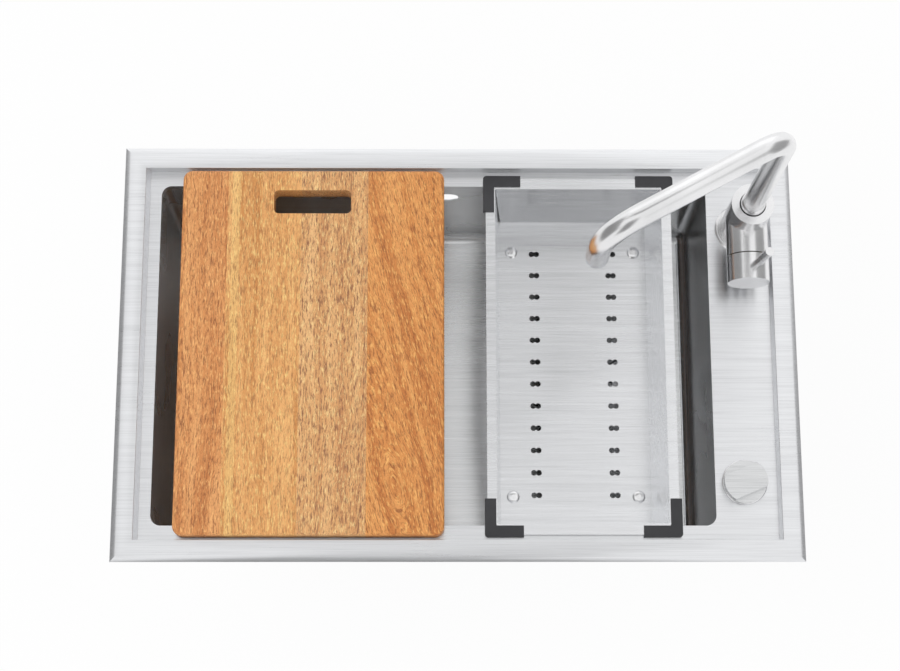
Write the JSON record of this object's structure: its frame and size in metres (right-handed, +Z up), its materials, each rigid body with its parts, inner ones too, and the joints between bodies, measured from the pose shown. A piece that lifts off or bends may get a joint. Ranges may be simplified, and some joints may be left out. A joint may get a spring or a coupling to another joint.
{
  "type": "kitchen sink",
  "caption": "Drop-in steel sink with a stepped ledge that carries a sliding wood board and a perforated tray, a swivel tap with an angled lever, and a basket drain with a remote knob.",
  "frame": {"origin": "centre of the rim, on the plane where the rim rests on the countertop", "axes": "+X along the rim to the right, +Y to the back, +Z up out of the bowl"},
  "size_m": [0.8, 0.5, 0.7025],
  "materials": {
    "steel_brushed": "brushed along the long side",
    "steel_tap": "fine satin, polished on the valve",
    "zinc": "zinc plated",
    "damping_pad": "matt grey",
    "foam": "matt foam",
    "rubber_black": "matt",
    "plastic_white": "matt",
    "plastic_black": "matt",
    "brass_raw": "turned",
    "ceramic_cartridge": "matt",
    "copper_stub": "drawn tube",
    "wood_a": "oiled",
    "wood_b": "oiled",
    "wood_c": "oiled",
    "wood_d": "oiled"
  },
  "bodies": {
    "sink": {"rim_frame": "steel_brushed", "ledge_deck": "steel_brushed", "deck_stiffener": "steel_brushed", "bowl_walls": "steel_brushed", "overflow_panel": "steel_brushed", "bowl_floor": "steel_brushed", "damping_pads": "damping_pad", "rim_gasket": "foam", "clip_brackets": "steel_brushed", "clip_arms": "zinc", "clip_screws": "zinc", "drain_body": "steel_brushed", "drain_spigot": "steel_brushed", "drain_guide": "steel_brushed", "drain_gasket": "rubber_black", "drain_locknut": "plastic_white", "tail_nut": "plastic_white", "tailpipe": "plastic_white", "drain_cable_gland": "plastic_black", "tap_body": "steel_tap", "tap_flange": "steel_tap", "tap_base_seal": "rubber_black", "tap_shank": "brass_raw", "tap_washer": "rubber_black", "tap_nut": "brass_raw", "tap_inlet_hot": "copper_stub", "tap_inlet_cold": "copper_stub", "cartridge": "ceramic_cartridge", "cartridge_nut": "brass_raw", "swivel_bushing": "plastic_black", "knob_ring": "steel_tap", "knob_bushing": "brass_raw", "knob_nut": "brass_raw", "knob_box": "plastic_black"},
    "basket": {"basket_cup": "steel_brushed", "basket_seal": "rubber_black", "basket_stem": "steel_tap"},
    "board": {"board_stave_1": "wood_a", "board_stave_2": "wood_b", "board_stave_3": "wood_c", "board_stave_4": "wood_d"},
    "tray": {"tray_shell": "steel_brushed", "tray_rivets": "steel_brushed", "tray_feet": "rubber_black", "tray_bumper_1": "rubber_black", "tray_bumper_2": "rubber_black", "tray_bumper_3": "rubber_black", "tray_bumper_4": "rubber_black"},
    "lever_carriage": {"lever_carrier": "plastic_black", "cross_pin": "steel_tap"},
    "lever": {"lever_cap": "steel_tap", "lever_pin": "steel_tap"},
    "spout": {"spout_collar": "steel_tap", "stem_orings": "rubber_black", "spout_pipe": "steel_tap", "aerator_ring": "steel_brushed", "aerator_insert": "plastic_black"},
    "drain_knob": {"knob_grip": "steel_tap", "knob_shaft": "zinc", "knob_drum": "plastic_white"}
  },
  "joints": [
    {"name": "spout_swivel", "type": "hinge", "parent": "sink", "child": "spout", "pos_m": [0.3396, 0.1526, 0.1], "axis": [0, 0, 1], "continuous": true},
    {"name": "lever_temperature", "type": "hinge", "parent": "sink", "child": "lever_carriage", "pos_m": [0.3396, 0.104, 0.038], "axis": [0, 1, 0], "range_deg": [-52, 38]},
    {"name": "lever_flow", "type": "hinge", "parent": "lever_carriage", "child": "lever", "pos_m": [0.3396, 0.098, 0.038], "axis": [0.9925, 0, -0.1219], "range_deg": [0, 20]},
    {"name": "knob_turn", "type": "hinge", "parent": "sink", "child": "drain_knob", "pos_m": [0.334, -0.1555, -0.008], "axis": [0, 0, 1], "range_deg": [0, 90]},
    {"name": "basket_lift", "type": "slide", "parent": "sink", "child": "basket", "axis": [0, 0, 1], "range_m": [0, 0.01]},
    {"name": "board_slide", "type": "slide", "parent": "sink", "child": "board", "axis": [1, 0, 0], "range_m": [-0.038, 0.02]},
    {"name": "tray_slide", "type": "slide", "parent": "sink", "child": "tray", "axis": [1, 0, 0], "range_m": [-0.02, 0.035]}
  ],
  "couplings": [
    {"joint": "basket_lift", "follows": "knob_turn", "m_per_rad": 0.006366}
  ]
}
